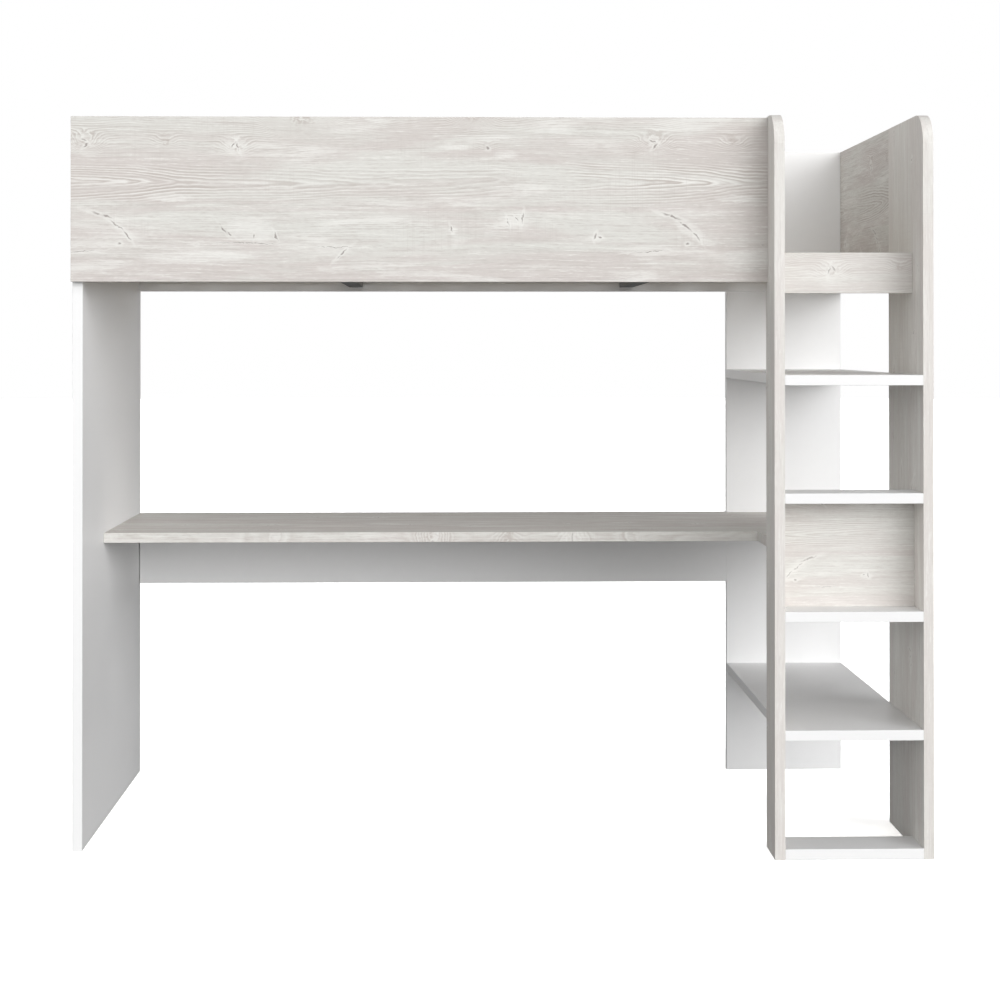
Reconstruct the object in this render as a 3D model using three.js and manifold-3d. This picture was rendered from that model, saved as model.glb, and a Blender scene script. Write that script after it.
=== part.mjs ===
// Loft bed with a desk beneath it and a shelf-and-ladder tower at one end.
// Millimetres. +X runs along the bed towards the ladder, +Y to the back, +Z up.
// The origin is the middle of the footprint, at floor level.
import * as THREE from 'three';
import { mergeVertices } from 'three/addons/utils/BufferGeometryUtils.js';
import Module from 'manifold-3d';

const wasm = await Module();
wasm.setup();

// Overall size and board
const WIDTH = 2090;
const DEPTH = 1060;
const HEIGHT = 1800;
const BOARD = 25;

// Bed box
const END_PANEL_DEPTH = 935;
const GUARD_BOTTOM = 1393;
const FRONT_GUARD_TOP = 1797;

// Ladder and tower
const CLEAR_STEP_WIDTH = 335;
const LADDER_SIDE_DEPTH = 130;
const UPRIGHT_DEPTH = 385;
const CORNER_RADIUS = 75;
const CORNER_SEGMENTS = 16;
const STEP_DEPTH = 125;
const FIRST_STEP_TOP = 26;
const STEP_PITCH = 285;
const ENTRY_RAIL = { thickness: 16, bottom: 1366, top: 1466 };
const LEG_GAP = 1;

// Desk
const DESK_TOP = 750;
const DESK_DEPTH = 630;
const MODESTY_BOTTOM = 548;
const MODESTY_END_GAP = 2;

// Slatted base
const CROSSBAR = { width: 40, height: 20, wall: 1.5, bottom: 1405, offset: 393, endGap: 0.5 };
const LEDGE = 25;
const SLAT = { count: 15, width: 70, thickness: 15, endGap: 15, sideGap: 1.5 };

// Fittings: cam locks in blind bores, and screws that hold the crossbars up to the ledges
const CAM = { diameter: 15, length: 12, boreClearance: 0.3, boreDepth: 12.5, fromEdge: 34 };
const CAM_DRIVE = { long: 9, short: 5, width: 2, depth: 2.5 };
const SCREW = { headDiameter: 9, headLength: 2.5, diameter: 4.5, reach: 18, fromGuard: 12.5 };
const SCREW_CLEARANCE = 0.3;
const ACCESS_HOLE_DIAMETER = 12;
const BORE_SIDES = 24;

// Planes that several boards share
const FRONT = -DEPTH / 2;
const BACK = DEPTH / 2;
const LEFT = -WIDTH / 2;
const RIGHT = WIDTH / 2;
const INNER_LEFT = LEFT + BOARD;
const INNER_RIGHT = RIGHT - BOARD;
const INNER_BACK = BACK - BOARD;
const END_PANEL_FRONT = BACK - END_PANEL_DEPTH;
const TOWER_LEFT = INNER_RIGHT - CLEAR_STEP_WIDTH;
const LADDER_BACK = FRONT + LADDER_SIDE_DEPTH;
const STEP_BACK = FRONT + STEP_DEPTH;
const UPRIGHT_BACK = FRONT + UPRIGHT_DEPTH;
const DESK_FRONT = BACK - DESK_DEPTH;
const LEDGE_BOTTOM = CROSSBAR.bottom + CROSSBAR.height;
const SLAT_BOTTOM = LEDGE_BOTTOM + LEDGE;

const bed = new THREE.Group();

// --- Materials -------------------------------------------------------------------------

function whitewashedPine() {
  return new THREE.MeshStandardMaterial({ color: 0xdedad5, roughness: 0.55, metalness: 0 });
}

function whiteMelamine() {
  return new THREE.MeshStandardMaterial({ color: 0xf3f3f1, roughness: 0.5, metalness: 0 });
}

function slatPine() {
  return new THREE.MeshStandardMaterial({ color: 0xded1b8, roughness: 0.7, metalness: 0 });
}

function greySteel() {
  return new THREE.MeshStandardMaterial({ color: 0x5a5c5e, roughness: 0.45, metalness: 0.6 });
}

function zinc() {
  return new THREE.MeshStandardMaterial({ color: 0xb5b7ba, roughness: 0.35, metalness: 0.9 });
}

// --- Shared shapes ---------------------------------------------------------------------

// A rectangular piece between two planes on each axis.
function block([x0, x1], [y0, y1], [z0, z1]) {
  const geometry = new THREE.BoxGeometry(x1 - x0, y1 - y0, z1 - z0);
  geometry.translate((x0 + x1) / 2, (y0 + y1) / 2, (z0 + z1) / 2);
  return geometry;
}

// A round bar that stands on +Z, from one height to another.
function upright([x, y], diameter, [z0, z1]) {
  const geometry = new THREE.CylinderGeometry(diameter / 2, diameter / 2, z1 - z0, BORE_SIDES);
  geometry.rotateX(Math.PI / 2);
  geometry.translate(x, y, (z0 + z1) / 2);
  return geometry;
}

function toSolid(geometry) {
  const bare = geometry.clone();
  bare.deleteAttribute('normal');
  bare.deleteAttribute('uv');
  const merged = mergeVertices(bare);
  return new wasm.Manifold(new wasm.Mesh({
    numProp: 3,
    vertProperties: new Float32Array(merged.attributes.position.array),
    triVerts: new Uint32Array(merged.index.array),
  }));
}

function toGeometry(solid) {
  const mesh = solid.getMesh();
  const geometry = new THREE.BufferGeometry();
  geometry.setAttribute('position', new THREE.BufferAttribute(mesh.vertProperties, mesh.numProp));
  geometry.setIndex(new THREE.BufferAttribute(mesh.triVerts, 1));
  geometry.computeVertexNormals();
  return geometry;
}

function cut(geometry, cutters) {
  let solid = toSolid(geometry);
  for (const cutter of cutters) {
    solid = solid.subtract(toSolid(cutter));
  }
  return toGeometry(solid);
}

function join(first, second) {
  return toGeometry(toSolid(first).add(toSolid(second)));
}

function add(name, geometry, material) {
  const mesh = new THREE.Mesh(geometry, material);
  mesh.name = name;
  bed.add(mesh);
}

// --- Fittings --------------------------------------------------------------------------

// A zinc cam housing that sits flush in the underside of a board, with a cross drive.
function camHousing([x, y], underside) {
  const { long, short, width, depth } = CAM_DRIVE;
  const driveHeight = [underside - 1, underside + depth];
  const barAcross = block([x - long / 2, x + long / 2], [y - width / 2, y + width / 2], driveHeight);
  const barAlong = block([x - width / 2, x + width / 2], [y - short / 2, y + short / 2], driveHeight);
  const body = upright([x, y], CAM.diameter, [underside, underside + CAM.length]);
  return cut(body, [barAcross, barAlong]);
}

function camBore(place, underside) {
  const diameter = CAM.diameter + 2 * CAM.boreClearance;
  return upright(place, diameter, [underside - 1, underside + CAM.boreDepth]);
}

// A board whose underside is bored for cam housings, and the housings in it.
function addBoredBoard(name, geometry, material, underside, places) {
  add(name, cut(geometry, places.map((place) => camBore(place, underside))), material);
  places.forEach((place, index) => {
    add(`${name}_cam_${index + 1}`, camHousing(place, underside), zinc());
  });
}

// --- Bed box ---------------------------------------------------------------------------

function addEndPanel() {
  const shape = block([LEFT, INNER_LEFT], [END_PANEL_FRONT, BACK], [0, FRONT_GUARD_TOP]);
  add('left_end_panel', shape, whiteMelamine());
}

function addGuards() {
  const frontSpan = [LEFT, TOWER_LEFT - BOARD];
  const frontDepth = [END_PANEL_FRONT - BOARD, END_PANEL_FRONT];
  const front = block(frontSpan, frontDepth, [GUARD_BOTTOM, FRONT_GUARD_TOP]);
  add('front_guard', front, whitewashedPine());
  const back = block([INNER_LEFT, INNER_RIGHT], [INNER_BACK, BACK], [GUARD_BOTTOM, HEIGHT]);
  add('back_guard', back, whiteMelamine());
  const head = block([INNER_RIGHT, RIGHT], [UPRIGHT_BACK, BACK], [GUARD_BOTTOM, HEIGHT]);
  add('headboard_panel', head, whitewashedPine());
}

// --- Ladder and tower ------------------------------------------------------------------

// A floor-to-top ladder board with its front top corner rounded, its face across X.
function ladderBoard([x0, x1], [y0, y1]) {
  const outline = new THREE.Shape();
  outline.moveTo(y0, 0);
  outline.lineTo(y1, 0);
  outline.lineTo(y1, HEIGHT);
  outline.lineTo(y0 + CORNER_RADIUS, HEIGHT);
  outline.absarc(y0 + CORNER_RADIUS, HEIGHT - CORNER_RADIUS, CORNER_RADIUS, Math.PI / 2, Math.PI, false);
  outline.closePath();
  const geometry = new THREE.ExtrudeGeometry(outline, {
    depth: x1 - x0,
    bevelEnabled: false,
    curveSegments: CORNER_SEGMENTS,
  });
  // The outline is drawn in (Y, Z) and pushed out along X.
  geometry.applyMatrix4(new THREE.Matrix4().set(
    0, 0, 1, x0,
    1, 0, 0, 0,
    0, 1, 0, 0,
    0, 0, 0, 1,
  ));
  return geometry;
}

function addLadderSides() {
  const left = ladderBoard([TOWER_LEFT - BOARD, TOWER_LEFT], [FRONT, LADDER_BACK]);
  add('ladder_left_side', left, whitewashedPine());
  const right = ladderBoard([INNER_RIGHT, RIGHT], [FRONT, UPRIGHT_BACK]);
  add('right_upright', right, whitewashedPine());
}

function stepTop(number) {
  return FIRST_STEP_TOP + STEP_PITCH * (number - 1);
}

function addStep(name, number) {
  const top = stepTop(number);
  const shape = block([TOWER_LEFT, INNER_RIGHT], [FRONT, STEP_BACK], [top - BOARD, top]);
  const middle = (FRONT + STEP_BACK) / 2;
  addBoredBoard(name, shape, whiteMelamine(), top - BOARD, [
    [TOWER_LEFT + CAM.fromEdge, middle],
    [INNER_RIGHT - CAM.fromEdge, middle],
  ]);
}

// A step that runs back to the leg as a shelf.
function addShelf(name, number) {
  const top = stepTop(number);
  const shape = block([TOWER_LEFT, INNER_RIGHT], [FRONT, INNER_BACK], [top - BOARD, top]);
  const front = (FRONT + STEP_BACK) / 2;
  addBoredBoard(name, shape, whiteMelamine(), top - BOARD, [
    [TOWER_LEFT + CAM.fromEdge, front],
    [INNER_RIGHT - CAM.fromEdge, front],
    [INNER_RIGHT - CAM.fromEdge, UPRIGHT_BACK - 2 * CAM.fromEdge],
    [(TOWER_LEFT + INNER_RIGHT) / 2, INNER_BACK - CAM.fromEdge],
  ]);
}

function addLadderBackPanel() {
  const heights = [stepTop(3), stepTop(4) - BOARD];
  const shape = block([TOWER_LEFT, INNER_RIGHT], [STEP_BACK - BOARD, STEP_BACK], heights);
  add('ladder_back_panel', shape, whitewashedPine());
}

function addEntryRail() {
  const { thickness, bottom, top } = ENTRY_RAIL;
  const shape = block([TOWER_LEFT, INNER_RIGHT], [LADDER_BACK - thickness, LADDER_BACK], [bottom, top]);
  add('entry_rail', shape, whitewashedPine());
}

function addBackLeg() {
  const heights = [0, GUARD_BOTTOM - LEG_GAP];
  const shape = block([TOWER_LEFT, INNER_RIGHT], [INNER_BACK, BACK], heights);
  add('back_leg', shape, whiteMelamine());
}

// --- Desk ------------------------------------------------------------------------------

// The top is one board: the wide writing surface, and a tongue that fills the tower and
// stops in front of the back leg.
function addDeskTop() {
  const heights = [DESK_TOP - BOARD, DESK_TOP];
  const main = block([INNER_LEFT, TOWER_LEFT], [DESK_FRONT, BACK], heights);
  const tongue = block([TOWER_LEFT, INNER_RIGHT], [STEP_BACK, INNER_BACK], heights);
  const leftEdge = INNER_LEFT + CAM.fromEdge;
  const rightEdge = INNER_RIGHT - CAM.fromEdge;
  addBoredBoard('desk_top', join(main, tongue), whitewashedPine(), heights[0], [
    [leftEdge, DESK_FRONT + 2 * CAM.fromEdge],
    [leftEdge, (DESK_FRONT + BACK) / 2],
    [leftEdge, INNER_BACK - 2 * CAM.fromEdge],
    [rightEdge, STEP_BACK + 2 * CAM.fromEdge],
    [rightEdge, UPRIGHT_BACK - 2 * CAM.fromEdge],
  ]);
}

function addModestyPanel() {
  const span = [INNER_LEFT + MODESTY_END_GAP, TOWER_LEFT];
  const shape = block(span, [INNER_BACK, BACK], [MODESTY_BOTTOM, DESK_TOP - BOARD]);
  add('modesty_panel', shape, whiteMelamine());
}

// --- Slatted base ----------------------------------------------------------------------

// The four places where a crossbar is screwed up into a ledge.
function crossbarScrewPlaces() {
  const places = [];
  for (const [side, x] of [['left', -CROSSBAR.offset], ['right', CROSSBAR.offset]]) {
    places.push({ side, end: 'front', x, y: END_PANEL_FRONT + SCREW.fromGuard });
    places.push({ side, end: 'back', x, y: INNER_BACK - SCREW.fromGuard });
  }
  return places;
}

function screwHole({ x, y }) {
  const diameter = SCREW.diameter + 2 * SCREW_CLEARANCE;
  const topWall = LEDGE_BOTTOM - CROSSBAR.wall;
  return upright([x, y], diameter, [topWall - 1, LEDGE_BOTTOM + SCREW.reach + 1]);
}

// A steel tube that ties the front guard to the back guard, under the slats.
function addCrossbar(side, x) {
  const { width, height, wall, bottom, endGap } = CROSSBAR;
  const length = [END_PANEL_FRONT + endGap, INNER_BACK - endGap];
  const tube = block([x - width / 2, x + width / 2], length, [bottom, bottom + height]);
  const inside = block(
    [x - width / 2 + wall, x + width / 2 - wall],
    [length[0] - 1, length[1] + 1],
    [bottom + wall, bottom + height - wall],
  );
  const screws = crossbarScrewPlaces().filter((place) => place.side === side);
  const access = screws.map((place) => {
    return upright([place.x, place.y], ACCESS_HOLE_DIAMETER, [bottom - 1, bottom + 2 * wall]);
  });
  const geometry = cut(tube, [inside, ...screws.map(screwHole), ...access]);
  add(`crossbar_${side}`, geometry, greySteel());
}

function addCrossbarScrews() {
  const topWall = LEDGE_BOTTOM - CROSSBAR.wall;
  const headTop = topWall - SCREW_CLEARANCE;
  for (const { side, end, x, y } of crossbarScrewPlaces()) {
    const head = upright([x, y], SCREW.headDiameter, [headTop - SCREW.headLength, headTop]);
    const shank = upright([x, y], SCREW.diameter, [headTop - 1, LEDGE_BOTTOM + SCREW.reach]);
    add(`crossbar_screw_${side}_${end}`, join(head, shank), zinc());
  }
}

// Wooden ledges along the inside of the bed box carry the ends of the slats.
function addLedges() {
  const heights = [LEDGE_BOTTOM, SLAT_BOTTOM];
  const holes = (end) => crossbarScrewPlaces().filter((place) => place.end === end).map(screwHole);
  const frontSpan = [INNER_LEFT, TOWER_LEFT - BOARD];
  const front = block(frontSpan, [END_PANEL_FRONT, END_PANEL_FRONT + LEDGE], heights);
  add('front_ledge', cut(front, holes('front')), slatPine());
  const back = block([INNER_LEFT, INNER_RIGHT], [INNER_BACK - LEDGE, INNER_BACK], heights);
  add('back_ledge', cut(back, holes('back')), slatPine());
  const entry = block([TOWER_LEFT, INNER_RIGHT], [LADDER_BACK, END_PANEL_FRONT + LEDGE], heights);
  add('entry_ledge', entry, slatPine());
}

function addSlats() {
  const { count, width, thickness, endGap, sideGap } = SLAT;
  const first = INNER_LEFT + endGap + width / 2;
  const last = INNER_RIGHT - endGap - width / 2;
  const length = [LADDER_BACK + sideGap, INNER_BACK - sideGap];
  for (let index = 0; index < count; index += 1) {
    const x = first + (last - first) * index / (count - 1);
    const span = [x - width / 2, x + width / 2];
    const shape = block(span, length, [SLAT_BOTTOM, SLAT_BOTTOM + thickness]);
    add(`slat_${String(index + 1).padStart(2, '0')}`, shape, slatPine());
  }
}

// --- Assembly --------------------------------------------------------------------------

addEndPanel();
addGuards();
addLadderSides();
addStep('step_1', 1);
addShelf('shelf_low', 2);
addStep('step_3', 3);
addStep('step_4', 4);
addShelf('shelf_high', 5);
addLadderBackPanel();
addEntryRail();
addBackLeg();
addDeskTop();
addModestyPanel();
addCrossbar('left', -CROSSBAR.offset);
addCrossbar('right', CROSSBAR.offset);
addCrossbarScrews();
addLedges();
addSlats();

export default bed;
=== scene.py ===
import math

import bmesh
import bpy
from mathutils import Matrix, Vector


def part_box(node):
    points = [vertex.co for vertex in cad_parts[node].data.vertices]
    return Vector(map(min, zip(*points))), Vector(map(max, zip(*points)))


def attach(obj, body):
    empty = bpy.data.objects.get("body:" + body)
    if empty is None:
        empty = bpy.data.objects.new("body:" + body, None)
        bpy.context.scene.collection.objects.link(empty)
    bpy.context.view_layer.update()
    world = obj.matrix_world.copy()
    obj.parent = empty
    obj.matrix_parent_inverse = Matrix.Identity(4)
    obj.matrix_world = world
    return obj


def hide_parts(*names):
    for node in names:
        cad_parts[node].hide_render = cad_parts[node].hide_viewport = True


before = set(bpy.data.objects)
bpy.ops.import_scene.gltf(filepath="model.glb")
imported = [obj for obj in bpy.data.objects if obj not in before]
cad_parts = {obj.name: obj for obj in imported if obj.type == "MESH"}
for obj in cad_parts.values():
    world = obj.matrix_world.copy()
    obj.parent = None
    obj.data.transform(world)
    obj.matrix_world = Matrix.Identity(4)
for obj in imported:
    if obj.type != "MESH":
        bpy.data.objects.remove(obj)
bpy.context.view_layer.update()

# --- Camera ---------------------------------------------------------------------------
# A view camera on a stand stands 5 m in front of the bed, a little left of its middle and
# 1.25 m off the floor. It is all but level; its back is shifted to keep the boards upright.
camera_data = bpy.data.cameras.new("view_camera")
camera_data.lens = 73.08
camera_data.sensor_width = 36.0
camera_data.shift_y = -0.171
camera = bpy.data.objects.new("view_camera", camera_data)
camera.location = (-0.1228, -5.3978, 1.2455)
camera.rotation_euler = (math.radians(90.371), math.radians(0.016), math.radians(-1.433))
bpy.context.scene.collection.objects.link(camera)
bpy.context.scene.camera = camera
bpy.context.scene.view_settings.view_transform = "Standard"

# --- White boards ---------------------------------------------------------------------
# The foot end panel, back guard, back leg, modesty panel, steps and shelves are 25 mm
# chipboard faced with white melamine. Their edges are ironed on in a slightly glossier
# white strip, rounded over by 1 mm, and a hairline shows where strip and face meet.
EDGE_ROUNDING = 0.001
EDGE_JOINT_INSET = 0.0008
EDGE_JOINT_WIDTH = 0.00025
EDGE_JOINT_DEPTH = 0.00012
SHORTEST_EDGE = 0.003
LARGEST_ROUNDING_FACE = 0.001
FLAT_ENOUGH = 0.999
WELD_DISTANCE = 0.000001
ON_SIDE_WITHIN = 0.00001
FLAT_WITHIN_DEGREES = 0.5
CORNER_DEGREES = 30.0
MELAMINE_GLOSS = 0.2


def tint(red, green, blue):
    """A paint-chart colour, 0 to 255 each, as the linear values that shaders read."""
    channels = [value / 255 for value in (red, green, blue)]
    return [c / 12.92 if c <= 0.04045 else ((c + 0.055) / 1.055) ** 2.4 for c in channels] + [1.0]


def shader_node(tree, kind, inputs=(), **settings):
    """One node, with its settings made and its inputs set or wired to other nodes' outputs."""
    made = tree.nodes.new(kind)
    for name, value in settings.items():
        setattr(made, name, value)
    for name, value in dict(inputs).items():
        socket = made.inputs[name]
        if isinstance(value, bpy.types.NodeSocket):
            tree.links.new(value, socket)
        else:
            socket.default_value = value
    return made


def new_material(name):
    """An empty node material, with the shader that everything is wired into."""
    material = bpy.data.materials.new(name)
    material.use_nodes = True
    tree = material.node_tree
    tree.nodes.clear()
    shader = shader_node(tree, "ShaderNodeBsdfPrincipled")
    output = shader_node(tree, "ShaderNodeOutputMaterial")
    tree.links.new(shader.outputs["BSDF"], output.inputs["Surface"])
    return material, tree, shader


def calc(tree, operation, first, second=0.0, third=0.0, clamp=False):
    """One step of arithmetic, as a wire."""
    inputs = {0: first, 1: second, 2: third}
    return shader_node(tree, "ShaderNodeMath", inputs, operation=operation, use_clamp=clamp).outputs[0]


def product(tree, *factors):
    """Several wires or numbers multiplied together."""
    total = factors[0]
    for factor in factors[1:]:
        total = calc(tree, "MULTIPLY", total, factor)
    return total


def noise(tree, place, scale, detail=2.0, roughness=0.5, distortion=0.0):
    """Smooth random values from 0 to 1 about a place."""
    inputs = {
        "Vector": place,
        "Scale": scale,
        "Detail": detail,
        "Roughness": roughness,
        "Distortion": distortion,
    }
    return shader_node(tree, "ShaderNodeTexNoise", inputs).outputs["Fac"]


def ramp_between(tree, value, low, high, to_low=0.0, to_high=1.0):
    """The value eased from one span to another, flat beyond its ends."""
    inputs = {"Value": value, "From Min": low, "From Max": high, "To Min": to_low, "To Max": to_high}
    ease = shader_node(tree, "ShaderNodeMapRange", inputs, interpolation_type="SMOOTHSTEP")
    return ease.outputs["Result"]


def blend_colours(tree, amount, first, second):
    """One colour laid over another by an amount from 0 to 1."""
    mixer = shader_node(tree, "ShaderNodeMix", data_type="RGBA", clamp_factor=True)
    for socket, value in ((mixer.inputs[0], amount), (mixer.inputs[6], first), (mixer.inputs[7], second)):
        if isinstance(value, bpy.types.NodeSocket):
            tree.links.new(value, socket)
        else:
            socket.default_value = value
    return mixer.outputs[2]


def add_relief(tree, shader, height, distance):
    """Fine surface relief, its depth in metres."""
    inputs = {"Height": height, "Distance": distance, "Strength": 1.0}
    bump = shader_node(tree, "ShaderNodeBump", inputs)
    tree.links.new(bump.outputs["Normal"], shader.inputs["Normal"])


def white_melamine(name, roughness, pearl_depth):
    """Printed-white facing: a faint pearl texture, and haze from cleaning and handling."""
    material, tree, shader = new_material(name)
    place = shader_node(tree, "ShaderNodeTexCoord").outputs["Object"]
    pearl = noise(tree, place, 900.0, detail=1.0)
    haze = noise(tree, place, 3.5, detail=4.0, roughness=0.6)
    mottle = noise(tree, place, 55.0, detail=2.0)
    shade = calc(tree, "MULTIPLY_ADD", haze, 0.6, calc(tree, "MULTIPLY", mottle, 0.4))
    colour = blend_colours(tree, shade, tint(239, 239, 239), tint(244, 244, 244))
    tree.links.new(colour, shader.inputs["Base Color"])
    rough = ramp_between(tree, haze, 0.3, 0.7, roughness - 0.05, roughness + 0.06)
    tree.links.new(rough, shader.inputs["Roughness"])
    shader.inputs["Specular IOR Level"].default_value = MELAMINE_GLOSS
    add_relief(tree, shader, pearl, pearl_depth)
    return material


def merged_copy(node):
    """A welded copy of a CAD node's mesh, with each flat side made one face."""
    bm = bmesh.new()
    bm.from_mesh(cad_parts[node].data)
    bmesh.ops.remove_doubles(bm, verts=bm.verts, dist=WELD_DISTANCE)
    flat_within = math.radians(FLAT_WITHIN_DEGREES)
    bmesh.ops.dissolve_limit(bm, angle_limit=flat_within, verts=bm.verts, edges=bm.edges)
    return bm


def sharp_edges(bm):
    """The edges at which two sides of a piece meet at a corner."""
    least = math.radians(CORNER_DEGREES)
    return [e for e in bm.edges if len(e.link_faces) == 2 and e.calc_face_angle() > least]


def finish_piece(bm, name, slot, materials, *nodes):
    """Turns a bmesh into a piece that rides on the bed and stands for its CAD nodes."""
    mesh = bpy.data.meshes.new(name)
    bm.to_mesh(mesh)
    bm.free()
    for material in materials:
        mesh.materials.append(material)
    piece = bpy.data.objects.new(name, mesh)
    bpy.context.scene.collection.objects.link(piece)
    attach(piece, "root")
    if nodes:
        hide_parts(*nodes)
    return piece


def on_two_sides(point, low, high):
    """True for a corner that lies on two or more sides of a board's box."""
    touching = [min(abs(point[a] - low[a]), abs(point[a] - high[a])) < ON_SIDE_WITHIN for a in range(3)]
    return sum(touching) >= 2


def outer_edges(bm, node):
    """The corners on the outside of a board, without the short ones round bores in its underside."""
    low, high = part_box(node)
    long_enough = [e for e in sharp_edges(bm) if e.calc_length() > SHORTEST_EDGE]
    return [e for e in long_enough if all(on_two_sides(vert.co, low, high) for vert in e.verts)]


def ease_corners(bm, node, rounding, segments):
    """Rounds the outer corners of a board, stick or tube."""
    bmesh.ops.bevel(
        bm,
        geom=outer_edges(bm, node),
        offset=rounding,
        affect="EDGES",
        segments=segments,
        profile=0.5,
        material=-1,
        clamp_overlap=True,
    )


def edged_board(node, face_axis, slot, facing, edging):
    """A faced board: rounded edges, strip-coloured narrow sides, and a hairline round each face."""
    bm = merged_copy(node)
    ease_corners(bm, node, EDGE_ROUNDING, segments=3)
    wide = [f for f in bm.faces if abs(f.normal[face_axis]) > FLAT_ENOUGH]
    for face in bm.faces:
        face.material_index = 1
        face.smooth = face.calc_area() < LARGEST_ROUNDING_FACE
    for face in wide:
        face.material_index = 0
        face.smooth = False
    for depth, width in (
        (0.0, EDGE_JOINT_INSET),
        (-EDGE_JOINT_DEPTH, EDGE_JOINT_WIDTH),
        (EDGE_JOINT_DEPTH, EDGE_JOINT_WIDTH),
    ):
        bmesh.ops.inset_region(bm, faces=wide, thickness=width, depth=depth, use_even_offset=True)
    return finish_piece(bm, node + "_board", slot, [facing, edging], node)


white_face = white_melamine("white_melamine_face", 0.42, 0.00004)
white_edge = white_melamine("white_melamine_edge", 0.34, 0.00002)

for node, face_axis in (
    ("left_end_panel", 0),
    ("back_guard", 1),
    ("back_leg", 1),
    ("modesty_panel", 1),
    ("step_1", 2),
    ("shelf_low", 2),
    ("step_3", 2),
    ("step_4", 2),
    ("shelf_high", 2),
):
    edged_board(node, face_axis, "white_melamine", white_face, white_edge)

# --- Whitewashed pine boards ----------------------------------------------------------
# The front guard, headboard, ladder sides and back, and desk top are 25 mm chipboard too,
# and the entry rail is 16 mm. They are faced with a repeating decor printed from limed
# pine: warm and cold white washes over straight grain, flame figure, small knots, and
# cracks filled with plaster.
PRINT_LENGTH = 1.39
PRINT_WIDTH = 0.46
PRINT_START = -0.19
ROW_SHIFT = 0.53
FLAME_AXIS = 0.241
TIP_SHARPNESS = 1.35
RING_SPACING = 0.006
PRINT_GLOSS = 0.1
TIP_STEPS = 10
FLAME_TOP = 0.298
JOINT_HEIGHT = 0.178
FLAME_TIPS = (-0.103, 0.061, 0.159, 0.203, 0.257, 0.533, 0.649, 0.996)

PAPER = (215, 214, 209)
PINK_PAPER = (207, 201, 197)
LIME = (232, 231, 227)
GREY_WOOD = (191, 185, 180)
LATE_WOOD = (179, 169, 163)
CRACK = (142, 134, 130)
# Painted light: the pale white laid over some boards and edges where the lamps leave them too dark.
PAINTED_LIGHT_WHITE = (247, 245, 241)

# Knots as (along, across, radius, pull on the grain), in metres on the print.
KNOTS = (
    (0.034, 0.339, 0.050, 0.034),
    (0.232, 0.342, 0.036, 0.015),
    (0.401, 0.330, 0.046, 0.024),
    (0.560, 0.404, 0.090, 0.075),
    (0.984, 0.408, 0.064, 0.042),
    (1.016, 0.329, 0.028, 0.011),
)

# Cracks as (along, across, half length, half width, degrees up from the grain).
CRACKS = (
    (0.076, 0.162, 0.029, 0.0033, -17.0),
    (0.112, 0.137, 0.022, 0.0027, -36.0),
    (0.139, 0.112, 0.015, 0.0024, -52.0),
    (0.118, 0.093, 0.006, 0.0030, 12.0),
    (0.303, 0.092, 0.005, 0.0027, -10.0),
    (0.372, 0.127, 0.017, 0.0023, -50.0),
    (0.386, 0.118, 0.012, 0.0021, -35.0),
    (0.446, 0.109, 0.007, 0.0021, 84.0),
    (0.500, 0.110, 0.013, 0.0023, -68.0),
    (0.430, 0.094, 0.085, 0.0014, -1.5),
    (0.640, 0.085, 0.060, 0.0010, -1.0),
    (0.660, 0.068, 0.019, 0.0024, 42.0),
    (0.927, 0.131, 0.010, 0.0024, -68.0),
    (1.066, 0.148, 0.011, 0.0025, -75.0),
    (1.086, 0.154, 0.009, 0.0019, -62.0),
    (1.101, 0.157, 0.014, 0.0025, 82.0),
    (-0.110, 0.111, 0.009, 0.0027, 75.0),
    (-0.097, 0.110, 0.006, 0.0021, -10.0),
    (0.406, 0.330, 0.012, 0.0024, -70.0),
    (0.396, 0.336, 0.009, 0.0021, 60.0),
    (1.016, 0.329, 0.004, 0.0045, 20.0),
    (0.036, 0.333, 0.009, 0.0024, 40.0),
    (0.030, 0.345, 0.010, 0.0021, -20.0),
    (0.024, 0.074, 0.045, 0.0012, 3.0),
)

# Plaster patches as (along, across, half length, half width, degrees).
PLASTER = (
    (0.130, 0.122, 0.060, 0.016, -32.0),
    (0.440, 0.128, 0.062, 0.034, -12.0),
    (0.402, 0.331, 0.040, 0.034, -30.0),
    (0.300, 0.060, 0.150, 0.020, 1.0),
    (0.640, 0.080, 0.060, 0.018, 2.0),
    (1.060, 0.312, 0.030, 0.011, 0.0),
    (0.930, 0.128, 0.014, 0.012, 20.0),
    (1.085, 0.148, 0.050, 0.022, 0.0),
    (-0.105, 0.108, 0.024, 0.013, 0.0),
    (0.935, 0.330, 0.050, 0.008, 0.0),
    (0.036, 0.342, 0.024, 0.017, -20.0),
    (0.240, 0.205, 0.060, 0.010, 0.0),
)


def nearest_mark(tree, place, marks):
    """How near a place is to any of some long marks: 0 at a mark's middle, 1 at its rim."""
    nearest = None
    for along, across, half_length, half_width, degrees in marks:
        inputs = {
            "Vector": place,
            "Location": (along, across, 0.0),
            "Rotation": (0.0, 0.0, math.radians(degrees)),
            "Scale": (half_length, half_width, 1.0),
        }
        local = shader_node(tree, "ShaderNodeMapping", inputs, vector_type="TEXTURE").outputs["Vector"]
        reach = shader_node(tree, "ShaderNodeVectorMath", {0: local}, operation="LENGTH").outputs["Value"]
        nearest = reach if nearest is None else calc(tree, "MINIMUM", nearest, reach)
    return nearest


def times(tree, place, factors):
    """A place multiplied, axis by axis."""
    inputs = {0: place, 1: factors}
    return shader_node(tree, "ShaderNodeVectorMath", inputs, operation="MULTIPLY").outputs[0]


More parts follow.
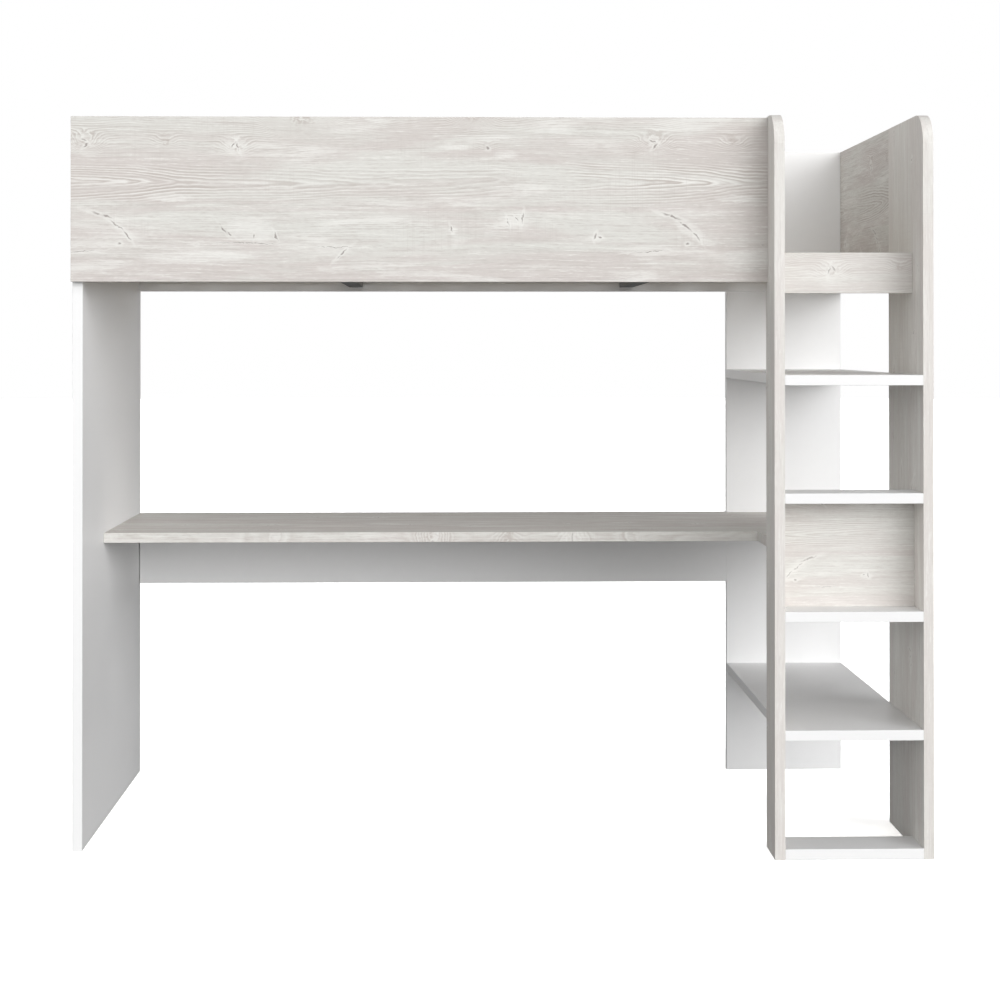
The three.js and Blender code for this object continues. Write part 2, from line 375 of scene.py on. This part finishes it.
def limed_pine_print():
    """The decor sheet as a node group: a place on the sheet in, colour, gloss and relief out."""
    tree = bpy.data.node_groups.new("limed_pine_print", "ShaderNodeTree")
    tree.interface.new_socket("Sheet", in_out="INPUT", socket_type="NodeSocketVector")
    tree.interface.new_socket("Color", in_out="OUTPUT", socket_type="NodeSocketColor")
    tree.interface.new_socket("Roughness", in_out="OUTPUT", socket_type="NodeSocketFloat")
    tree.interface.new_socket("Relief", in_out="OUTPUT", socket_type="NodeSocketFloat")
    sheet = tree.nodes.new("NodeGroupInput").outputs["Sheet"]
    along, across, deep = shader_node(tree, "ShaderNodeSeparateXYZ", {0: sheet}).outputs

    def streaks(place, by_along, by_across, detail=2.0, roughness=0.5, distortion=0.0):
        """Noise drawn out along the grain."""
        longer = times(tree, place, (by_along, by_across, by_across))
        return noise(tree, longer, 1.0, detail, roughness, distortion)

    def ramp(value, low, high, to_low=0.0, to_high=1.0):
        return ramp_between(tree, value, low, high, to_low, to_high)

    def blend(amount, colour, *levels):
        return blend_colours(tree, amount, colour, tint(*levels))

    # The grain wanders a little across the sheet.
    drift = streaks(sheet, 1.3, 5.0)
    ripple = streaks(sheet, 9.0, 40.0)
    sway = calc(tree, "MULTIPLY_ADD", drift, 0.030, product(tree, ripple, 0.0022))
    swayed = calc(tree, "ADD", across, sway)
    flow = shader_node(tree, "ShaderNodeCombineXYZ", {0: along, 1: swayed, 2: deep}).outputs[0]

    # The place within one repeat of the print, each row of repeats shifted along.
    row = calc(tree, "FLOOR", calc(tree, "DIVIDE", across, PRINT_WIDTH))
    up = calc(tree, "SUBTRACT", across, product(tree, row, PRINT_WIDTH))
    shifted = calc(tree, "MULTIPLY_ADD", row, ROW_SHIFT, along)
    from_start = calc(tree, "SUBTRACT", shifted, PRINT_START)
    turns = calc(tree, "FLOOR", calc(tree, "DIVIDE", from_start, PRINT_LENGTH))
    right = calc(tree, "MULTIPLY_ADD", turns, -PRINT_LENGTH, shifted)
    crook_inputs = {"Vector": times(tree, sheet, (55.0, 70.0, 70.0)), "Scale": 1.0, "Detail": 2.0}
    crook = shader_node(tree, "ShaderNodeTexNoise", crook_inputs).outputs["Color"]
    centred = {0: crook, 1: (0.5, 0.5, 0.5)}
    crook = shader_node(tree, "ShaderNodeVectorMath", centred, operation="SUBTRACT").outputs[0]
    crook = times(tree, crook, (0.014, 0.012, 0.0))
    flat = shader_node(tree, "ShaderNodeCombineXYZ", {0: right, 1: up}).outputs[0]
    crooked_inputs = {0: flat, 1: crook}
    crooked = shader_node(tree, "ShaderNodeVectorMath", crooked_inputs, operation="ADD").outputs[0]

    # Growth rings along the flame axis: the flame's pointed tips lie one inside the next.
    tips = tree.nodes.new("ShaderNodeFloatCurve")
    curve = tips.mapping.curves[0]
    curve.points[0].location = (0.0, 0.02)
    curve.points[-1].location = (1.0, 1.0)
    for count, tip in enumerate(FLAME_TIPS):
        curve.points.new((tip - PRINT_START) / PRINT_LENGTH, (count + 1) / TIP_STEPS)
    for point in curve.points:
        point.handle_type = "VECTOR"
    tips.mapping.update()
    cycle = calc(tree, "DIVIDE", calc(tree, "SUBTRACT", right, PRINT_START), PRINT_LENGTH)
    tree.links.new(cycle, tips.inputs["Value"])
    pith = product(tree, tips.outputs[0], TIP_STEPS * RING_SPACING)
    wobble = streaks(sheet, 18.0, 60.0)
    pith = calc(tree, "ADD", pith, calc(tree, "MULTIPLY_ADD", wobble, 0.006, -0.003))
    drifting_up = calc(tree, "MULTIPLY_ADD", drift, 0.05, up)
    off_axis = calc(tree, "ABSOLUTE", calc(tree, "SUBTRACT", drifting_up, FLAME_AXIS + 0.025))
    sideways = calc(tree, "POWER", off_axis, TIP_SHARPNESS)
    lengthways = calc(tree, "POWER", pith, TIP_SHARPNESS)
    spread = calc(tree, "ADD", sideways, lengthways)
    flame_rings = calc(tree, "POWER", spread, 1 / TIP_SHARPNESS)

    # Above the flame the rings flow round the knots.
    swirl = streaks(sheet, 4.5, 9.0, detail=1.0)
    knot_rings = calc(tree, "MULTIPLY_ADD", swirl, 0.045, up)
    knot_rings = calc(tree, "MULTIPLY_ADD", drift, 0.11, knot_rings)
    knot_heart = None
    for knot_along, knot_across, radius, pull in KNOTS:
        inputs = {
            "Vector": crooked,
            "Location": (knot_along, knot_across, 0.0),
            "Scale": (radius * 1.25, radius * 0.8, 1.0),
        }
        local = shader_node(tree, "ShaderNodeMapping", inputs, vector_type="TEXTURE").outputs["Vector"]
        reach = shader_node(tree, "ShaderNodeVectorMath", {0: local}, operation="LENGTH").outputs["Value"]
        knot_rings = calc(tree, "ADD", knot_rings, ramp(reach, 0.0, 1.0, pull, 0.0))
        knot_heart = reach if knot_heart is None else calc(tree, "MINIMUM", knot_heart, reach)

    # Each year is a dark line of late wood beside a limed white line, some years stronger.
    in_flame = calc(tree, "LESS_THAN", up, FLAME_TOP)
    choice = {0: in_flame, 2: knot_rings, 3: flame_rings}
    rings = shader_node(tree, "ShaderNodeMix", choice).outputs[0]
    rings = calc(tree, "MULTIPLY_ADD", ripple, 0.0024, rings)
    ring_count = calc(tree, "DIVIDE", rings, RING_SPACING)
    ring = calc(tree, "FRACT", ring_count)
    year_inputs = {"W": calc(tree, "FLOOR", ring_count)}
    year = shader_node(tree, "ShaderNodeTexWhiteNoise", year_inputs, noise_dimensions="1D")
    year_strength = calc(tree, "MULTIPLY_ADD", year.outputs["Value"], 0.7, 0.3)
    late_wood = product(tree, ramp(ring, 0.0, 0.45), ramp(ring, 0.45, 0.62, 1.0, 0.0))
    white_line = product(tree, ramp(ring, 0.58, 0.76), ramp(ring, 0.82, 1.0, 1.0, 0.0))
    on_axis = ramp(off_axis, 0.030, 0.056, 1.0, 0.0)
    strongest = product(
        tree,
        ramp(right, 0.28, 0.42, 1.0, 0.55),
        ramp(right, 1.04, 1.17, 1.0, 0.0),
        ramp(right, PRINT_START, -0.12),
    )
    patchy = ramp(streaks(sheet, 4.0, 18.0), 0.36, 0.60, 0.50, 1.0)
    flame = product(tree, on_axis, strongest, patchy)
    near_knot = ramp(knot_heart, 0.6, 1.7, 1.0, 0.35)
    upper = product(tree, ramp(up, 0.290, 0.325), ramp(up, 0.43, 0.455, 1.0, 0.0))
    upper = product(tree, upper, near_knot, calc(tree, "POWER", patchy, 0.5))
    choice = {0: in_flame, 2: product(tree, upper, 0.7), 3: flame}
    figure = shader_node(tree, "ShaderNodeMix", choice).outputs[0]
    figure = product(tree, figure, year_strength)

    # Washes: warm where the wood shows through, cold where the lime lies thick.
    warm = streaks(flow, 1.6, 13.0, detail=4.0, roughness=0.6, distortion=0.5)
    cold = streaks(flow, 3.2, 21.0, detail=5.0, roughness=0.62, distortion=0.8)
    band = streaks(flow, 1.1, 60.0, detail=3.0)
    fibre = streaks(flow, 3.5, 330.0, detail=3.0, roughness=0.6)
    thread = streaks(flow, 15.0, 180.0, detail=3.0, roughness=0.65, distortion=0.25)
    speck = streaks(flow, 60.0, 330.0, detail=2.0, roughness=0.6)
    grain = calc(tree, "MULTIPLY_ADD", fibre, 0.40, product(tree, thread, 0.35))
    grain = calc(tree, "MULTIPLY_ADD", speck, 0.25, grain)
    joint_gap = calc(tree, "ABSOLUTE", calc(tree, "SUBTRACT", up, JOINT_HEIGHT))
    joint = product(tree, ramp(joint_gap, 0.002, 0.010, 1.0, 0.0), patchy)
    foot = product(tree, ramp(up, 0.040, 0.046, 1.0, 0.0), ramp(warm, 0.4, 0.6, 0.3, 1.0))
    joint_and_foot = calc(tree, "MULTIPLY_ADD", joint, 0.6, foot)
    warmth = calc(tree, "ADD", ramp(warm, 0.38, 0.62), joint_and_foot, clamp=True)
    plaster_rim = nearest_mark(tree, crooked, PLASTER)
    plaster_reach = calc(tree, "MULTIPLY_ADD", cold, 2.0, plaster_rim)
    plaster = ramp(plaster_reach, 1.50, 2.10, 1.0, 0.0)
    colour = blend_colours(tree, warmth, tint(*PAPER), tint(*PINK_PAPER))
    colour = blend(ramp(cold, 0.50, 0.68, 0.0, 0.60), colour, *LIME)
    colour = blend(ramp(band, 0.50, 0.75, 0.0, 0.30), colour, *GREY_WOOD)
    colour = blend(ramp(grain, 0.49, 0.62, 0.0, 0.62), colour, *GREY_WOOD)
    colour = blend(ramp(grain, 0.48, 0.36, 0.0, 0.70), colour, *LIME)
    colour = blend(product(tree, late_wood, figure, 0.88), colour, *LATE_WOOD)
    colour = blend(product(tree, white_line, figure, 0.95), colour, *LIME)
    colour = blend(product(tree, plaster, ramp(grain, 0.38, 0.56, 0.75, 0.35)), colour, *LIME)

    # Knot hearts are a crumbled warm grey. Cracks are thin, dark and broken.
    crumble = streaks(sheet, 120.0, 140.0, detail=3.0)
    heart = product(tree, ramp(knot_heart, 0.10, 0.42, 1.0, 0.0), ramp(crumble, 0.42, 0.60))
    colour = blend(product(tree, heart, 0.6), colour, *LATE_WOOD)
    broken = ramp(streaks(sheet, 70.0, 90.0), 0.34, 0.52, 0.15, 1.0)
    crack_reach = nearest_mark(tree, crooked, CRACKS)
    filler = product(tree, ramp(crack_reach, 1.2, 2.8, 0.5, 0.0), ramp(cold, 0.3, 0.5))
    colour = blend(filler, colour, *LIME)
    crack = product(tree, ramp(crack_reach, 0.30, 1.2, 1.0, 0.0), broken)
    colour = blend(product(tree, crack, 0.80), colour, *CRACK)

    # Faint saw marks cross the grain in places.
    saw = streaks(sheet, 300.0, 5.0, detail=1.0)
    saw_area = ramp(streaks(sheet, 4.0, 10.0, detail=1.0), 0.54, 0.64)
    saw_mark = product(tree, ramp(saw, 0.5, 0.7, 0.0, 0.16), saw_area)
    colour = blend(saw_mark, colour, *GREY_WOOD)

    rough = ramp(grain, 0.35, 0.65, 0.46, 0.58)
    relief = calc(tree, "MULTIPLY_ADD", grain, 0.6, product(tree, crack, -1.0))
    relief = calc(tree, "ADD", relief, product(tree, late_wood, figure, -0.3))
    made = tree.nodes.new("NodeGroupOutput")
    tree.links.new(colour, made.inputs["Color"])
    tree.links.new(rough, made.inputs["Roughness"])
    tree.links.new(relief, made.inputs["Relief"])
    return tree


def whitewashed_pine(name, sheet, turn, shift, stretch, painted_light):
    """The decor as cut for one board: turn lays the grain, shift picks the place, and the last argument
    is a share of painted light, a flat pale white laid over the print.
    """
    material, tree, shader = new_material(name)
    place = shader_node(tree, "ShaderNodeTexCoord").outputs["Object"]
    turned = {
        "Vector": place,
        "Rotation": [math.radians(angle) for angle in turn],
        "Location": shift,
        "Scale": stretch,
    }
    cut = shader_node(tree, "ShaderNodeMapping", turned).outputs["Vector"]
    printed = shader_node(tree, "ShaderNodeGroup", node_tree=sheet)
    tree.links.new(cut, printed.inputs["Sheet"])
    # Painted light: a flat pale white blended over the print by the given share, lightening boards and
    # edges that the lamps leave too dark.
    colour = blend_colours(tree, painted_light, printed.outputs["Color"], tint(*PAINTED_LIGHT_WHITE))
    tree.links.new(colour, shader.inputs["Base Color"])
    tree.links.new(printed.outputs["Roughness"], shader.inputs["Roughness"])
    shader.inputs["Specular IOR Level"].default_value = PRINT_GLOSS
    add_relief(tree, shader, printed.outputs["Relief"], 0.00012)
    return material


GRAIN_ALONG_X_ON_FRONT = (-90.0, 0.0, 0.0)
GRAIN_UPRIGHT = (0.0, 90.0, 0.0)
GRAIN_ALONG_Y_ON_END = (90.0, 90.0, 0.0)
GRAIN_ALONG_X_ON_TOP = (0.0, 0.0, 0.0)
EVEN = (1.0, 1.0, 1.0)
TURNED_OVER = (1.0, -1.0, -1.0)
MIRRORED = (-1.0, 1.0, 1.0)
MIRRORED_FINER = (-1.27, 1.27, 1.27)

# Boards as (node, axis through the thickness, lie of the grain, place on the print, scale of
# the print, painted light over the faces, painted light over the edges). The painted light is a
# pale white laid over the print. It lightens the ladder sides, upright, rail and ladder back, and
# all edges but the desk's, where the lamps leave them too dark.
decor_sheet = limed_pine_print()
for node, face_axis, turn, shift, stretch, painted_light, edge_painted_light in (
    ("front_guard", 1, GRAIN_ALONG_X_ON_FRONT, (1.045, -1.393, 0.0), EVEN, 0.0, 0.3),
    ("headboard_panel", 0, GRAIN_ALONG_Y_ON_END, (0.1075, -1.379, 0.1), TURNED_OVER, 0.0, 0.2),
    ("ladder_left_side", 0, GRAIN_UPRIGHT, (0.10, 1.00, 0.2), EVEN, 0.32, 0.33),
    ("right_upright", 0, GRAIN_UPRIGHT, (0.62, 0.54, 0.3), EVEN, 0.32, 0.33),
    ("entry_rail", 1, GRAIN_ALONG_X_ON_FRONT, (1.221, -1.0887, 0.4), MIRRORED, 0.20, 0.33),
    ("ladder_back_panel", 1, GRAIN_ALONG_X_ON_FRONT, (1.0417, -0.7451, 0.5), MIRRORED_FINER, 0.20, 0.33),
    ("desk_top", 2, GRAIN_ALONG_X_ON_TOP, (0.20, 0.44, 0.6), EVEN, 0.0, 0.0),
):
    facing = whitewashed_pine("limed_pine_" + node, decor_sheet, turn, shift, stretch, painted_light)
    edging = whitewashed_pine("limed_pine_edge_" + node, decor_sheet, turn, shift, stretch, edge_painted_light)
    edged_board(node, face_axis, "whitewashed_pine", facing, edging)

# --- Slats and ledges -----------------------------------------------------------------
# The mattress lies on fifteen planed pine slats, and these on pine battens screwed along
# the inside of the bed box. The wood is bare, with its arrises just eased.
ARRIS = 0.0015
YEAR_WIDTH = 0.0058
KNOT_SCATTER = 5.5
KNOTLESS_SHARE = 0.7
SLAT_CUTS = 4


def bare_pine(name, turn, shift):
    """Planed softwood: honey-coloured late wood lines, a few red-brown knots, dull surface."""
    material, tree, shader = new_material(name)
    place = shader_node(tree, "ShaderNodeTexCoord").outputs["Object"]
    turned = {"Vector": place, "Rotation": [math.radians(angle) for angle in turn], "Location": shift}
    log = shader_node(tree, "ShaderNodeMapping", turned).outputs["Vector"]

    def stretched(by_along, by_across):
        return times(tree, log, (by_along, by_across, by_across))

    wander = noise(tree, stretched(1.4, 7.0), 1.0, detail=2.0)
    parts = shader_node(tree, "ShaderNodeSeparateXYZ", {0: stretched(0.05, 1.0)})
    spread = calc(tree, "MULTIPLY_ADD", parts.outputs[2], 0.6, parts.outputs[1])
    spread = calc(tree, "MULTIPLY_ADD", wander, 0.07, spread)
    scatter_inputs = {"Vector": log, "Scale": KNOT_SCATTER}
    scatter = shader_node(tree, "ShaderNodeTexVoronoi", scatter_inputs)
    chosen = shader_node(tree, "ShaderNodeSeparateColor", {0: scatter.outputs["Color"]}).outputs[0]
    chosen = calc(tree, "GREATER_THAN", chosen, KNOTLESS_SHARE)
    knot = product(tree, ramp_between(tree, scatter.outputs["Distance"], 0.0, 0.16, 1.0, 0.0), chosen)
    spread = calc(tree, "MULTIPLY_ADD", knot, 0.02, spread)
    ring = calc(tree, "FRACT", calc(tree, "DIVIDE", spread, YEAR_WIDTH))
    late = product(
        tree,
        ramp_between(tree, ring, 0.25, 0.85),
        ramp_between(tree, ring, 0.86, 0.97, 1.0, 0.0),
    )
    fibre = noise(tree, stretched(9.0, 420.0), 1.0, detail=2.0)
    tone = noise(tree, stretched(1.0, 5.0), 1.0, detail=1.0)
    colour = blend_colours(tree, tone, tint(222, 209, 186), tint(231, 220, 201))
    colour = blend_colours(tree, calc(tree, "MULTIPLY", late, 0.55), colour, tint(204, 180, 146))
    fibre_mark = ramp_between(tree, fibre, 0.5, 0.8, 0.0, 0.35)
    colour = blend_colours(tree, fibre_mark, colour, tint(202, 182, 153))
    heart = ramp_between(tree, product(tree, knot, knot), 0.45, 0.8, 0.0, 0.85)
    colour = blend_colours(tree, heart, colour, tint(140, 100, 72))
    tree.links.new(colour, shader.inputs["Base Color"])
    rough = ramp_between(tree, fibre, 0.3, 0.7, 0.56, 0.70)
    tree.links.new(rough, shader.inputs["Roughness"])
    add_relief(tree, shader, calc(tree, "MULTIPLY_ADD", late, 0.4, fibre), 0.0001)
    return material


def planed_stick(node, material):
    """A sawn and planed stick with eased arrises."""
    bm = merged_copy(node)
    ease_corners(bm, node, ARRIS, segments=2)
    return finish_piece(bm, node + "_planed", "slat_pine", [material], node)


slat_nodes = sorted(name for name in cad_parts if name.startswith("slat_"))
slat_cuts = []
for cut in range(SLAT_CUTS):
    place_in_log = (0.37 * cut, 0.9 * cut, 0.21 * cut)
    slat_cuts.append(bare_pine(f"slat_pine_{cut}", (0.0, 0.0, 90.0), place_in_log))
for index, node in enumerate(slat_nodes):
    planed_stick(node, slat_cuts[index % SLAT_CUTS])
ledge_pine = bare_pine("ledge_pine", (0.0, 0.0, 0.0), (0.5, 0.2, 0.1))
for node in ("front_ledge", "back_ledge", "entry_ledge"):
    planed_stick(node, ledge_pine)

# --- Slat tapes -----------------------------------------------------------------------
# Two woven polyester tapes keep the slats the right distance apart. They lie along the bed
# on top of the slats, hang a little slack between them, and are stapled to every slat.
TAPE_WIDTH = 0.020
TAPE_THICKNESS = 0.0009
TAPE_SLACK = 0.004
TAPE_LIFT = 0.0001
TAPE_ROWS = (-0.28, 0.38)
TAPE_RIB = 0.0016
TAPE_THREAD = 0.0011
SLAT_EASING = 0.001
SLACK_POINTS = 6
STAPLE_CROWN = 0.010
STAPLE_WIRE = 0.0007
STAPLE_ASIDE = 0.012


def woven_tape(name):
    """Undyed polyester webbing: ribs across the tape, and painted shade in the gaps between the threads.
    """
    material, tree, shader = new_material(name)
    place = shader_node(tree, "ShaderNodeTexCoord").outputs["Object"]
    parts = shader_node(tree, "ShaderNodeSeparateXYZ", {0: place}).outputs
    rib = calc(tree, "SINE", calc(tree, "MULTIPLY", parts[0], math.tau / TAPE_RIB))
    thread = calc(tree, "SINE", calc(tree, "MULTIPLY", parts[1], math.tau / TAPE_THREAD))
    weave = calc(tree, "MULTIPLY_ADD", calc(tree, "MULTIPLY", rib, thread), 0.5, 0.5)
    fuzz = noise(tree, place, 800.0, detail=2.0)
    weave = calc(tree, "MULTIPLY_ADD", fuzz, 0.4, calc(tree, "MULTIPLY", weave, 0.6))
    # The low parts of the weave are painted darker: painted shade in the gaps between the threads.
    colour = blend_colours(tree, weave, tint(196, 194, 186), tint(232, 231, 225))
    tree.links.new(colour, shader.inputs["Base Color"])
    shader.inputs["Roughness"].default_value = 0.85
    add_relief(tree, shader, weave, 0.0003)
    return material


def zinc_plate(name):
    """Bright zinc over wire, screws and die-cast metal, faintly clouded."""
    material, tree, shader = new_material(name)
    place = shader_node(tree, "ShaderNodeTexCoord").outputs["Object"]
    cloud = noise(tree, place, 260.0, detail=3.0)
    colour = blend_colours(tree, cloud, tint(176, 178, 181), tint(206, 208, 210))
    tree.links.new(colour, shader.inputs["Base Color"])
    shader.inputs["Metallic"].default_value = 1.0
    tree.links.new(ramp_between(tree, cloud, 0.3, 0.7, 0.28, 0.42), shader.inputs["Roughness"])
    add_relief(tree, shader, cloud, 0.00003)
    return material


tape_line = []
slat_boxes = [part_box(node) for node in slat_nodes]
slat_top = slat_boxes[0][1].z
for number, (low, high) in enumerate(slat_boxes):
    tape_line += [(low.x + SLAT_EASING, slat_top), (high.x - SLAT_EASING, slat_top)]
    if number + 1 == len(slat_boxes):
        continue
    gap = slat_boxes[number + 1][0].x - high.x
    for step in range(1, SLACK_POINTS):
        share = step / SLACK_POINTS
        tape_line.append((high.x + gap * share, slat_top - TAPE_SLACK * 4 * share * (1 - share)))

webbing = woven_tape("undyed_polyester_webbing")
for number, row in enumerate(TAPE_ROWS, start=1):
    bm = bmesh.new()
    previous = None
    for x, z in tape_line:
        ring = []
        for across, up in ((-0.5, 0), (0.5, 0), (0.5, 1), (-0.5, 1)):
            corner = (x, row + across * TAPE_WIDTH, z + TAPE_LIFT + up * TAPE_THICKNESS)
            ring.append(bm.verts.new(corner))
        if previous is None:
            bm.faces.new(list(reversed(ring)))
        else:
            for side in range(4):
                after = (side + 1) % 4
                bm.faces.new((previous[side], previous[after], ring[after], ring[side]))
        previous = ring
    bm.faces.new(previous)
    bmesh.ops.recalc_face_normals(bm, faces=bm.faces)
    finish_piece(bm, f"slat_tape_{number}", None, [webbing])

bm = bmesh.new()
staple_height = slat_top + TAPE_LIFT + TAPE_THICKNESS + STAPLE_WIRE / 2
flattened_wire = Matrix.Diagonal((STAPLE_WIRE * 1.4, STAPLE_CROWN, STAPLE_WIRE, 1.0))
for low, high in slat_boxes:
    for row in TAPE_ROWS:
        for aside in (-STAPLE_ASIDE, STAPLE_ASIDE):
            middle = Matrix.Translation(((low.x + high.x) / 2 + aside, row, staple_height))
            bmesh.ops.create_cube(bm, size=1.0, matrix=middle @ flattened_wire)
bmesh.ops.bevel(
    bm,
    geom=bm.edges[:],
    offset=STAPLE_WIRE * 0.25,
    affect="EDGES",
    segments=1,
    profile=0.5,
    material=-1,
)
staple_wire = zinc_plate("galvanised_staple_wire")
finish_piece(bm, "tape_staples", "zinc", [staple_wire])

# --- Crossbars ------------------------------------------------------------------------
# Two rectangular steel tubes under the ledges tie the front guard to the back guard. They
# are powder-coated dark grey and held up by pan-head screws reached through access holes.
TUBE_ROUNDING = 0.0012


def powder_coat(name):
    """Baked powder on steel: fine orange peel and a satin gloss."""
    material, tree, shader = new_material(name)
    place = shader_node(tree, "ShaderNodeTexCoord").outputs["Object"]
    peel = noise(tree, place, 620.0, detail=2.0)
    cloud = noise(tree, place, 14.0, detail=3.0)
    colour = blend_colours(tree, cloud, tint(104, 105, 106), tint(116, 117, 118))
    tree.links.new(colour, shader.inputs["Base Color"])
    tree.links.new(ramp_between(tree, peel, 0.3, 0.7, 0.38, 0.5), shader.inputs["Roughness"])
    add_relief(tree, shader, peel, 0.00005)
    return material


dark_grey_powder = powder_coat("dark_grey_powder_coat")
for node in ("crossbar_left", "crossbar_right"):
    bm = merged_copy(node)
    ease_corners(bm, node, TUBE_ROUNDING, segments=3)
    finish_piece(bm, node + "_tube", "grey_steel", [dark_grey_powder], node)

# --- Cam locks and screws -------------------------------------------------------------
# Die-cast cam housings sit in bores in the undersides of the steps, shelves and desk top,
# and pull the boards together. They and the crossbars' pan-head screws are zinc-plated.
bright_zinc = zinc_plate("bright_zinc_plate")
for node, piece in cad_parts.items():
    if "_cam_" in node or "screw" in node:
        piece.data.materials.clear()
        piece.data.materials.append(bright_zinc)

# --- Studio ---------------------------------------------------------------------------
# Wide soft lamps round the room, the strongest of them in front and to the right. To the
# camera the floor and the room are plain white, with hardly a shadow, but the floor throws
# back only a quarter of the light. All of it is set dressing, not part of the bed.
FLOOR_RADIUS = 40.0
FLOOR_UNDER_LIGHT = (0.26, 0.26, 0.26, 1.0)
FLOOR_TO_THE_EYE = (3.4, 3.4, 3.4, 1.0)
AIR_LIGHT = 0.10

floor_mesh = bpy.data.meshes.new("studio_floor")
floor_bm = bmesh.new()
bmesh.ops.create_circle(floor_bm, cap_ends=True, radius=FLOOR_RADIUS, segments=64)
floor_bm.to_mesh(floor_mesh)
floor_bm.free()
floor = bpy.data.objects.new("studio_floor", floor_mesh)
bpy.context.scene.collection.objects.link(floor)
floor_paint = bpy.data.materials.new("studio_floor_white")
floor_paint.use_nodes = True
floor_tree = floor_paint.node_tree
floor_tree.nodes.clear()
seen = shader_node(floor_tree, "ShaderNodeLightPath").outputs["Is Camera Ray"]
floor_white = blend_colours(floor_tree, seen, FLOOR_UNDER_LIGHT, FLOOR_TO_THE_EYE)
floor_shader = shader_node(floor_tree, "ShaderNodeBsdfDiffuse", {"Color": floor_white})
floor_output = shader_node(floor_tree, "ShaderNodeOutputMaterial")
floor_tree.links.new(floor_shader.outputs[0], floor_output.inputs["Surface"])
floor_mesh.materials.append(floor_paint)

# Soft lamps as (strength, degrees round to the right from the front, degrees up, tightness).
SOFT_LAMPS = (
    (0.40, 0.0, 5.0, 8.0),
    (6.15, 30.0, 5.0, 8.0),
    (0.95, 60.0, 5.0, 8.0),
    (0.90, -30.0, 5.0, 8.0),
    (0.85, -60.0, 5.0, 8.0),
    (1.20, -90.0, 5.0, 8.0),
    (0.15, 0.0, 42.0, 6.0),
    (0.85, 180.0, 4.0, 3.0),
)

world = bpy.data.worlds.new("studio_air")
bpy.context.scene.world = world
world.use_nodes = True
air = world.node_tree
air.nodes.clear()
outward = shader_node(air, "ShaderNodeTexCoord").outputs["Generated"]
glow = AIR_LIGHT
for strength, right, up, tightness in SOFT_LAMPS:
    level = math.cos(math.radians(up))
    bearing = math.radians(right)
    aim = (level * math.sin(bearing), -level * math.cos(bearing), math.sin(math.radians(up)))
    facing = shader_node(air, "ShaderNodeVectorMath", {0: outward, 1: aim}, operation="DOT_PRODUCT")
    lobe = calc(air, "POWER", calc(air, "MAXIMUM", facing.outputs["Value"], 0.0), tightness)
    glow = calc(air, "MULTIPLY_ADD", lobe, strength, glow)
shown = shader_node(air, "ShaderNodeLightPath").outputs["Is Camera Ray"]
glow = calc(air, "MAXIMUM", glow, shown)
sky = shader_node(air, "ShaderNodeBackground", {"Color": (1.0, 1.0, 1.0, 1.0), "Strength": glow})
sky_output = shader_node(air, "ShaderNodeOutputWorld")
air.links.new(sky.outputs[0], sky_output.inputs["Surface"])
